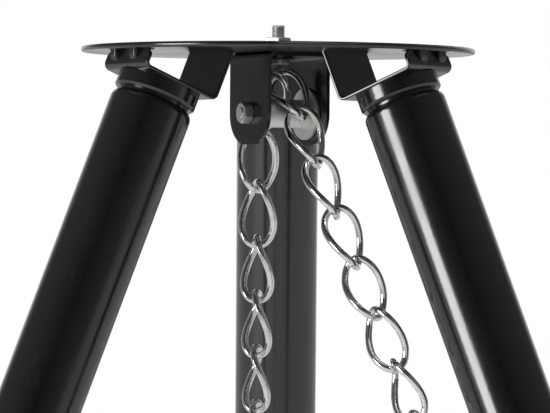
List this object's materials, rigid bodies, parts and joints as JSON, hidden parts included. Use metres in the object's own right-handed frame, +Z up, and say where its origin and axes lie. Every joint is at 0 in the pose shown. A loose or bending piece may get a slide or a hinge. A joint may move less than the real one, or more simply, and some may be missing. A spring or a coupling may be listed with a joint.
{
  "type": "chain hoist tripod",
  "caption": "Heavy steel tripod with a round top plate and leaning tube legs; a chain runs over a roller under the plate to a hook on one leg.",
  "frame": {"origin": "on the top plate's axis, at the top face of the nut that the centre stud stands out of", "axes": "+Z up along the stud; +Y over the rear leg; the left and right legs stand at azimuths 210 and 330 degrees from +X"},
  "size_m": [1.4062, 1.2255, 1.706],
  "materials": {
    "black_paint": "semi-gloss black powder coat",
    "zinc": "bright zinc plate",
    "chain_plate": "polished nickel plate",
    "rubber": "matt black rubber"
  },
  "bodies": {
    "stand": {"bracket_left": "black_paint", "bracket_rear": "black_paint", "bracket_right": "black_paint", "centre_stud": "zinc", "chain_on_roller": "chain_plate", "chain_to_hook_lower": "chain_plate", "chain_to_hook_upper": "chain_plate", "clevis": "black_paint", "clevis_bolt": "zinc", "clevis_nut": "zinc", "foot_left": "rubber", "foot_rear": "rubber", "foot_right": "rubber", "leg_bolt_left": "black_paint", "leg_bolt_rear": "black_paint", "leg_bolt_right": "black_paint", "leg_hook": "black_paint", "leg_hook_weld": "black_paint", "leg_lower_tube_left": "black_paint", "leg_lower_tube_rear": "black_paint", "leg_lower_tube_right": "black_paint", "leg_plug_left": "black_paint", "leg_plug_rear": "black_paint", "leg_plug_right": "black_paint", "leg_upper_tube_left": "black_paint", "leg_upper_tube_rear": "black_paint", "leg_upper_tube_right": "black_paint", "stud_washer": "black_paint", "top_nut": "zinc", "top_plate": "black_paint", "weld_beads_left": "black_paint", "weld_beads_rear": "black_paint", "weld_beads_right": "black_paint"},
    "roller": {"roller": "zinc"},
    "top_link": {"hanging_link": "chain_plate"},
    "load_chain": {"load_chain_upper": "chain_plate", "load_chain_lower": "chain_plate"},
    "snap_hook": {"snap_hook": "chain_plate", "snap_pin": "chain_plate"},
    "snap_gate": {"snap_gate": "chain_plate"}
  },
  "joints": [
    {"name": "roller_spin", "type": "hinge", "parent": "stand", "child": "roller", "pos_m": [0.00104, 0.0006, -0.044], "axis": [0.866, 0.5, 0], "continuous": true},
    {"name": "chain_swing_fore_aft", "type": "hinge", "parent": "stand", "child": "top_link", "pos_m": [-0.01123, 0.01192, -0.05405], "axis": [0.866, 0.5, 0], "range_deg": [-18, 18]},
    {"name": "chain_swing_side", "type": "hinge", "parent": "top_link", "child": "load_chain", "pos_m": [-0.01123, 0.01192, -0.08605], "axis": [0.5, -0.866, 0], "range_deg": [-18, 18]},
    {"name": "snap_hook_swing", "type": "hinge", "parent": "load_chain", "child": "snap_hook", "pos_m": [-0.01123, 0.01192, -0.7605], "axis": [0.8387, -0.5446, 0], "range_deg": [-60, 60]},
    {"name": "snap_gate_open", "type": "hinge", "parent": "snap_hook", "child": "snap_gate", "pos_m": [-0.00415, 0.02282, -0.7987], "axis": [0.8387, -0.5446, 0], "range_deg": [0, 48], "stiffness_Nm_per_rad": 0.02, "springref_deg": -17.19}
  ]
}
